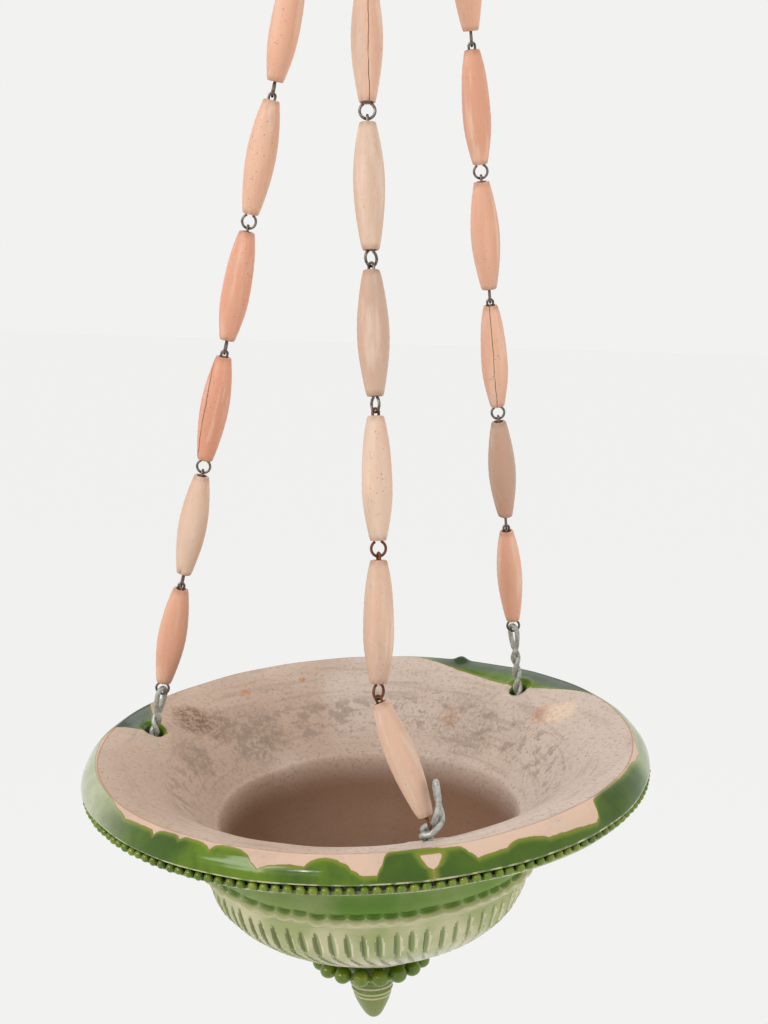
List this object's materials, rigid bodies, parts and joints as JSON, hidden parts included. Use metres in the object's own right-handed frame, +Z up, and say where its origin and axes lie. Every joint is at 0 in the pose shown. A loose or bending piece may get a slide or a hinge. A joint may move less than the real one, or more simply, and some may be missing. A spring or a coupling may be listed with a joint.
{
  "type": "hanging planter",
  "caption": "Glazed earthenware bowl with pearl and gouge ornament, hung by chains of turned wooden beads on wire links from a ring and an S-hook.",
  "frame": {"origin": "hang point: the inside top of the S-hook's upper bend", "axes": "+Z up along the plumb line, X to the right and Y away in the picture's view"},
  "size_m": [0.3204, 0.321, 0.9133],
  "materials": {
    "glaze": "glossy green lead glaze outside and on the lip, bare fired clay inside",
    "wood": "pale turned wood, waxed, with fine grain",
    "link_steel": "dark drawn steel wire, a little rusty",
    "zinc_wire": "dull galvanised wire",
    "hook_steel": "dull steel wire"
  },
  "bodies": {
    "s_hook": {"s_hook": "hook_steel"},
    "gathering_ring": {"gathering_ring": "hook_steel"},
    "bowl": {"bowl": "glaze", "left_rim_wire": "zinc_wire", "right_rim_wire": "zinc_wire", "front_rim_wire": "zinc_wire"},
    "left_link_1": {"left_link_1": "link_steel"},
    "left_bead_1": {"left_bead_1": "wood"},
    "left_link_2": {"left_link_2": "link_steel"},
    "left_bead_2": {"left_bead_2": "wood"},
    "left_link_3": {"left_link_3": "link_steel"},
    "left_bead_3": {"left_bead_3": "wood"},
    "left_link_4": {"left_link_4": "link_steel"},
    "left_bead_4": {"left_bead_4": "wood"},
    "left_link_5": {"left_link_5": "link_steel"},
    "left_bead_5": {"left_bead_5": "wood"},
    "left_link_6": {"left_link_6": "link_steel"},
    "left_bead_6": {"left_bead_6": "wood"},
    "left_link_7": {"left_link_7": "link_steel"},
    "left_bead_7": {"left_bead_7": "wood"},
    "left_link_8": {"left_link_8": "link_steel"},
    "left_bead_8": {"left_bead_8": "wood"},
    "left_link_9": {"left_link_9": "link_steel"},
    "left_bead_9": {"left_bead_9": "wood"},
    "right_link_1": {"right_link_1": "link_steel"},
    "right_bead_1": {"right_bead_1": "wood"},
    "right_link_2": {"right_link_2": "link_steel"},
    "right_bead_2": {"right_bead_2": "wood"},
    "right_link_3": {"right_link_3": "link_steel"},
    "right_bead_3": {"right_bead_3": "wood"},
    "right_link_4": {"right_link_4": "link_steel"},
    "right_bead_4": {"right_bead_4": "wood"},
    "right_link_5": {"right_link_5": "link_steel"},
    "right_bead_5": {"right_bead_5": "wood"},
    "right_link_6": {"right_link_6": "link_steel"},
    "right_bead_6": {"right_bead_6": "wood"},
    "right_link_7": {"right_link_7": "link_steel"},
    "right_bead_7": {"right_bead_7": "wood"},
    "right_link_8": {"right_link_8": "link_steel"},
    "right_bead_8": {"right_bead_8": "wood"},
    "right_link_9": {"right_link_9": "link_steel"},
    "right_bead_9": {"right_bead_9": "wood"},
    "front_link_1": {"front_link_1": "link_steel"},
    "front_bead_1": {"front_bead_1": "wood"},
    "front_link_2": {"front_link_2": "link_steel"},
    "front_bead_2": {"front_bead_2": "wood"},
    "front_link_3": {"front_link_3": "link_steel"},
    "front_bead_3": {"front_bead_3": "wood"},
    "front_link_4": {"front_link_4": "link_steel"},
    "front_bead_4": {"front_bead_4": "wood"},
    "front_link_5": {"front_link_5": "link_steel"},
    "front_bead_5": {"front_bead_5": "wood"},
    "front_link_6": {"front_link_6": "link_steel"},
    "front_bead_6": {"front_bead_6": "wood"},
    "front_link_7": {"front_link_7": "link_steel"},
    "front_bead_7": {"front_bead_7": "wood"},
    "front_link_8": {"front_link_8": "link_steel"},
    "front_bead_8": {"front_bead_8": "wood"},
    "front_link_9": {"front_link_9": "link_steel"},
    "front_bead_9": {"front_bead_9": "wood"}
  },
  "joints": [
    {"name": "ring_swing", "type": "hinge", "parent": "s_hook", "child": "gathering_ring", "pos_m": [0, 0, -0.04146], "axis": [0, 1, 0], "range_deg": [-30, 30]},
    {"name": "bowl_swing", "type": "hinge", "parent": "gathering_ring", "child": "bowl", "pos_m": [0, 0, -0.07566], "axis": [1, 0, 0], "range_deg": [-28, 28]},
    {"name": "left_chain_bow", "type": "hinge", "parent": "bowl", "child": "left_link_1", "pos_m": [-0.0045, 0, -0.07512], "axis": [-0.9459, 0.2618, 0.1919], "range_deg": [-3.5, 3.5]},
    {"name": "left_bead_1_spin", "type": "hinge", "parent": "left_link_1", "child": "left_bead_1", "pos_m": [-0.01738, 0.00358, -0.14348], "axis": [0.1849, -0.0514, 0.9814], "continuous": true},
    {"name": "left_link_2_hinge", "type": "hinge", "parent": "left_link_1", "child": "left_link_2", "pos_m": [-0.02428, 0.0055, -0.18014], "axis": [-0.9459, 0.2618, 0.1919], "range_deg": [-0.96, 0.96]},
    {"name": "left_bead_2_spin", "type": "hinge", "parent": "left_link_2", "child": "left_bead_2", "pos_m": [-0.03012, 0.00712, -0.2111], "axis": [0.1849, -0.0514, 0.9814], "continuous": true},
    {"name": "left_link_3_hinge", "type": "hinge", "parent": "left_link_2", "child": "left_link_3", "pos_m": [-0.03702, 0.00904, -0.24776], "axis": [-0.9459, 0.2618, 0.1919], "range_deg": [-0.96, 0.96]},
    {"name": "left_bead_3_spin", "type": "hinge", "parent": "left_link_3", "child": "left_bead_3", "pos_m": [-0.04286, 0.01066, -0.27872], "axis": [0.1849, -0.0514, 0.9814], "continuous": true},
    {"name": "left_link_4_hinge", "type": "hinge", "parent": "left_link_3", "child": "left_link_4", "pos_m": [-0.04976, 0.01258, -0.31538], "axis": [-0.9459, 0.2618, 0.1919], "range_deg": [-0.96, 0.96]},
    {"name": "left_bead_4_spin", "type": "hinge", "parent": "left_link_4", "child": "left_bead_4", "pos_m": [-0.0556, 0.0142, -0.34634], "axis": [0.1849, -0.0514, 0.9814], "continuous": true},
    {"name": "left_link_5_hinge", "type": "hinge", "parent": "left_link_4", "child": "left_link_5", "pos_m": [-0.0625, 0.01612, -0.383], "axis": [-0.9459, 0.2618, 0.1919], "range_deg": [-0.96, 0.96]},
    {"name": "left_bead_5_spin", "type": "hinge", "parent": "left_link_5", "child": "left_bead_5", "pos_m": [-0.06833, 0.01775, -0.41396], "axis": [0.1849, -0.0514, 0.9814], "continuous": true},
    {"name": "left_link_6_hinge", "type": "hinge", "parent": "left_link_5", "child": "left_link_6", "pos_m": [-0.07524, 0.01967, -0.45062], "axis": [-0.9459, 0.2618, 0.1919], "range_deg": [-0.96, 0.96]},
    {"name": "left_bead_6_spin", "type": "hinge", "parent": "left_link_6", "child": "left_bead_6", "pos_m": [-0.08107, 0.02129, -0.48158], "axis": [0.1849, -0.0514, 0.9814], "continuous": true},
    {"name": "left_link_7_hinge", "type": "hinge", "parent": "left_link_6", "child": "left_link_7", "pos_m": [-0.08798, 0.02321, -0.51824], "axis": [-0.9459, 0.2618, 0.1919], "range_deg": [-0.96, 0.96]},
    {"name": "left_bead_7_spin", "type": "hinge", "parent": "left_link_7", "child": "left_bead_7", "pos_m": [-0.09381, 0.02483, -0.5492], "axis": [0.1849, -0.0514, 0.9814], "continuous": true},
    {"name": "left_link_8_hinge", "type": "hinge", "parent": "left_link_7", "child": "left_link_8", "pos_m": [-0.10072, 0.02675, -0.58586], "axis": [-0.9459, 0.2618, 0.1919], "range_deg": [-0.96, 0.96]},
    {"name": "left_bead_8_spin", "type": "hinge", "parent": "left_link_8", "child": "left_bead_8", "pos_m": [-0.10655, 0.02837, -0.61682], "axis": [0.1849, -0.0514, 0.9814], "continuous": true},
    {"name": "left_link_9_hinge", "type": "hinge", "parent": "left_link_8", "child": "left_link_9", "pos_m": [-0.11345, 0.03029, -0.65347], "axis": [-0.9459, 0.2618, 0.1919], "range_deg": [-0.96, 0.96]},
    {"name": "left_bead_9_spin", "type": "hinge", "parent": "left_link_9", "child": "left_bead_9", "pos_m": [-0.11929, 0.03191, -0.68444], "axis": [0.1849, -0.0514, 0.9814], "continuous": true},
    {"name": "right_chain_bow", "type": "hinge", "parent": "bowl", "child": "right_link_1", "pos_m": [0.0058, 0, -0.07475], "axis": [0.7013, 0.6877, 0.1876], "range_deg": [-3.5, 3.5]},
    {"name": "right_bead_1_spin", "type": "hinge", "parent": "right_link_1", "child": "right_bead_1", "pos_m": [0.01072, 0.0054, -0.11295], "axis": [-0.1265, -0.139, 0.9822], "continuous": true},
    {"name": "right_link_2_hinge", "type": "hinge", "parent": "right_link_1", "child": "right_link_2", "pos_m": [0.01545, 0.01059, -0.14963], "axis": [0.7013, 0.6877, 0.1876], "range_deg": [-0.91, 0.91]},
    {"name": "right_bead_2_spin", "type": "hinge", "parent": "right_link_2", "child": "right_bead_2", "pos_m": [0.01944, 0.01498, -0.18062], "axis": [-0.1265, -0.139, 0.9822], "continuous": true},
    {"name": "right_link_3_hinge", "type": "hinge", "parent": "right_link_2", "child": "right_link_3", "pos_m": [0.02416, 0.02017, -0.2173], "axis": [0.7013, 0.6877, 0.1876], "range_deg": [-0.91, 0.91]},
    {"name": "right_bead_3_spin", "type": "hinge", "parent": "right_link_3", "child": "right_bead_3", "pos_m": [0.02815, 0.02455, -0.24829], "axis": [-0.1265, -0.139, 0.9822], "continuous": true},
    {"name": "right_link_4_hinge", "type": "hinge", "parent": "right_link_3", "child": "right_link_4", "pos_m": [0.03288, 0.02974, -0.28497], "axis": [0.7013, 0.6877, 0.1876], "range_deg": [-0.91, 0.91]},
    {"name": "right_bead_4_spin", "type": "hinge", "parent": "right_link_4", "child": "right_bead_4", "pos_m": [0.03687, 0.03413, -0.31596], "axis": [-0.1265, -0.139, 0.9822], "continuous": true},
    {"name": "right_link_5_hinge", "type": "hinge", "parent": "right_link_4", "child": "right_link_5", "pos_m": [0.0416, 0.03932, -0.35265], "axis": [0.7013, 0.6877, 0.1876], "range_deg": [-0.91, 0.91]},
    {"name": "right_bead_5_spin", "type": "hinge", "parent": "right_link_5", "child": "right_bead_5", "pos_m": [0.04559, 0.0437, -0.38364], "axis": [-0.1265, -0.139, 0.9822], "continuous": true},
    {"name": "right_link_6_hinge", "type": "hinge", "parent": "right_link_5", "child": "right_link_6", "pos_m": [0.05031, 0.04889, -0.42032], "axis": [0.7013, 0.6877, 0.1876], "range_deg": [-0.91, 0.91]},
    {"name": "right_bead_6_spin", "type": "hinge", "parent": "right_link_6", "child": "right_bead_6", "pos_m": [0.0543, 0.05328, -0.45131], "axis": [-0.1265, -0.139, 0.9822], "continuous": true},
    {"name": "right_link_7_hinge", "type": "hinge", "parent": "right_link_6", "child": "right_link_7", "pos_m": [0.05903, 0.05847, -0.48799], "axis": [0.7013, 0.6877, 0.1876], "range_deg": [-0.91, 0.91]},
    {"name": "right_bead_7_spin", "type": "hinge", "parent": "right_link_7", "child": "right_bead_7", "pos_m": [0.06302, 0.06285, -0.51898], "axis": [-0.1265, -0.139, 0.9822], "continuous": true},
    {"name": "right_link_8_hinge", "type": "hinge", "parent": "right_link_7", "child": "right_link_8", "pos_m": [0.06775, 0.06804, -0.55566], "axis": [0.7013, 0.6877, 0.1876], "range_deg": [-0.91, 0.91]},
    {"name": "right_bead_8_spin", "type": "hinge", "parent": "right_link_8", "child": "right_bead_8", "pos_m": [0.07174, 0.07242, -0.58665], "axis": [-0.1265, -0.139, 0.9822], "continuous": true},
    {"name": "right_link_9_hinge", "type": "hinge", "parent": "right_link_8", "child": "right_link_9", "pos_m": [0.07646, 0.07761, -0.62334], "axis": [0.7013, 0.6877, 0.1876], "range_deg": [-0.91, 0.91]},
    {"name": "right_bead_9_spin", "type": "hinge", "parent": "right_link_9", "child": "right_bead_9", "pos_m": [0.08046, 0.082, -0.65432], "axis": [-0.1265, -0.139, 0.9822], "continuous": true},
    {"name": "front_chain_bow", "type": "hinge", "parent": "bowl", "child": "front_link_1", "pos_m": [0.0019, 0, -0.07556], "axis": [-1, -0.0006, -0.003], "range_deg": [-3.5, 3.5]},
    {"name": "front_bead_1_spin", "type": "hinge", "parent": "front_link_1", "child": "front_bead_1", "pos_m": [-0.00651, -0.01596, -0.15799], "axis": [0.0997, 0.1891, 0.9769], "continuous": true},
    {"name": "front_link_2_hinge", "type": "hinge", "parent": "front_link_1", "child": "front_link_2", "pos_m": [-0.01023, -0.02303, -0.19448], "axis": [-1, -0.0006, -0.003], "range_deg": [-1.13, 1.13]},
    {"name": "front_bead_2_spin", "type": "hinge", "parent": "front_link_2", "child": "front_bead_2", "pos_m": [-0.01157, -0.02902, -0.22543], "axis": [0.0425, 0.1899, 0.9809], "continuous": true},
    {"name": "front_link_3_hinge", "type": "hinge", "parent": "front_link_2", "child": "front_link_3", "pos_m": [-0.01316, -0.03611, -0.26206], "axis": [-1, -0.0006, -0.003], "range_deg": [-1.13, 1.13]},
    {"name": "front_bead_3_spin", "type": "hinge", "parent": "front_link_3", "child": "front_bead_3", "pos_m": [-0.01306, -0.04211, -0.29304], "axis": [-0.0034, 0.1901, 0.9818], "continuous": true},
    {"name": "front_link_4_hinge", "type": "hinge", "parent": "front_link_3", "child": "front_link_4", "pos_m": [-0.01293, -0.04921, -0.3297], "axis": [-1, -0.0006, -0.003], "range_deg": [-1.13, 1.13]},
    {"name": "front_bead_4_spin", "type": "hinge", "parent": "front_link_4", "child": "front_bead_4", "pos_m": [-0.01172, -0.0552, -0.36066], "axis": [-0.0385, 0.19, 0.981], "continuous": true},
    {"name": "front_link_5_hinge", "type": "hinge", "parent": "front_link_4", "child": "front_link_5", "pos_m": [-0.01028, -0.0623, -0.3973], "axis": [-1, -0.0006, -0.003], "range_deg": [-1.13, 1.13]},
    {"name": "front_bead_5_spin", "type": "hinge", "parent": "front_link_5", "child": "front_bead_5", "pos_m": [-0.00846, -0.06828, -0.42822], "axis": [-0.0578, 0.1898, 0.9801], "continuous": true},
    {"name": "front_link_6_hinge", "type": "hinge", "parent": "front_link_5", "child": "front_link_6", "pos_m": [-0.0063, -0.07537, -0.46483], "axis": [-1, -0.0006, -0.003], "range_deg": [-1.13, 1.13]},
    {"name": "front_bead_6_spin", "type": "hinge", "parent": "front_link_6", "child": "front_bead_6", "pos_m": [-0.00435, -0.08136, -0.49574], "axis": [-0.0617, 0.1897, 0.9799], "continuous": true},
    {"name": "front_link_7_hinge", "type": "hinge", "parent": "front_link_6", "child": "front_link_7", "pos_m": [-0.00205, -0.08844, -0.53234], "axis": [-1, -0.0006, -0.003], "range_deg": [-1.13, 1.13]},
    {"name": "front_bead_7_spin", "type": "hinge", "parent": "front_link_7", "child": "front_bead_7", "pos_m": [-0.00037, -0.09443, -0.56327], "axis": [-0.053, 0.1898, 0.9804], "continuous": true},
    {"name": "front_link_8_hinge", "type": "hinge", "parent": "front_link_7", "child": "front_link_8", "pos_m": [0.00161, -0.10152, -0.59989], "axis": [-1, -0.0006, -0.003], "range_deg": [-1.13, 1.13]},
    {"name": "front_bead_8_spin", "type": "hinge", "parent": "front_link_8", "child": "front_bead_8", "pos_m": [0.00259, -0.10752, -0.63085], "axis": [-0.0312, 0.19, 0.9813], "continuous": true},
    {"name": "front_link_9_hinge", "type": "hinge", "parent": "front_link_8", "child": "front_link_9", "pos_m": [0.00376, -0.11461, -0.6675], "axis": [-1, -0.0006, -0.003], "range_deg": [-4.29, 4.29]},
    {"name": "front_bead_9_spin", "type": "hinge", "parent": "front_link_9", "child": "front_bead_9", "pos_m": [0.01642, -0.12022, -0.69585], "axis": [-0.4014, 0.1777, 0.8985], "continuous": true}
  ],
  "couplings": [
    {"joint": "left_link_2_hinge", "follows": "left_chain_bow", "ratio": -0.26537},
    {"joint": "left_link_3_hinge", "follows": "left_chain_bow", "ratio": -0.26537},
    {"joint": "left_link_4_hinge", "follows": "left_chain_bow", "ratio": -0.26537},
    {"joint": "left_link_5_hinge", "follows": "left_chain_bow", "ratio": -0.26537},
    {"joint": "left_link_6_hinge", "follows": "left_chain_bow", "ratio": -0.26537},
    {"joint": "left_link_7_hinge", "follows": "left_chain_bow", "ratio": -0.26537},
    {"joint": "left_link_8_hinge", "follows": "left_chain_bow", "ratio": -0.26537},
    {"joint": "left_link_9_hinge", "follows": "left_chain_bow", "ratio": -0.26537},
    {"joint": "right_link_2_hinge", "follows": "right_chain_bow", "ratio": -0.25296},
    {"joint": "right_link_3_hinge", "follows": "right_chain_bow", "ratio": -0.25296},
    {"joint": "right_link_4_hinge", "follows": "right_chain_bow", "ratio": -0.25296},
    {"joint": "right_link_5_hinge", "follows": "right_chain_bow", "ratio": -0.25296},
    {"joint": "right_link_6_hinge", "follows": "right_chain_bow", "ratio": -0.25296},
    {"joint": "right_link_7_hinge", "follows": "right_chain_bow", "ratio": -0.25296},
    {"joint": "right_link_8_hinge", "follows": "right_chain_bow", "ratio": -0.25296},
    {"joint": "right_link_9_hinge", "follows": "right_chain_bow", "ratio": -0.25296},
    {"joint": "front_link_2_hinge", "follows": "front_chain_bow", "ratio": -0.31284},
    {"joint": "front_link_3_hinge", "follows": "front_chain_bow", "ratio": -0.31284},
    {"joint": "front_link_4_hinge", "follows": "front_chain_bow", "ratio": -0.31284},
    {"joint": "front_link_5_hinge", "follows": "front_chain_bow", "ratio": -0.31284},
    {"joint": "front_link_6_hinge", "follows": "front_chain_bow", "ratio": -0.31284},
    {"joint": "front_link_7_hinge", "follows": "front_chain_bow", "ratio": -0.31284},
    {"joint": "front_link_8_hinge", "follows": "front_chain_bow", "ratio": -0.31284},
    {"joint": "front_link_9_hinge", "follows": "front_chain_bow", "ratio": 1.1899}
  ]
}
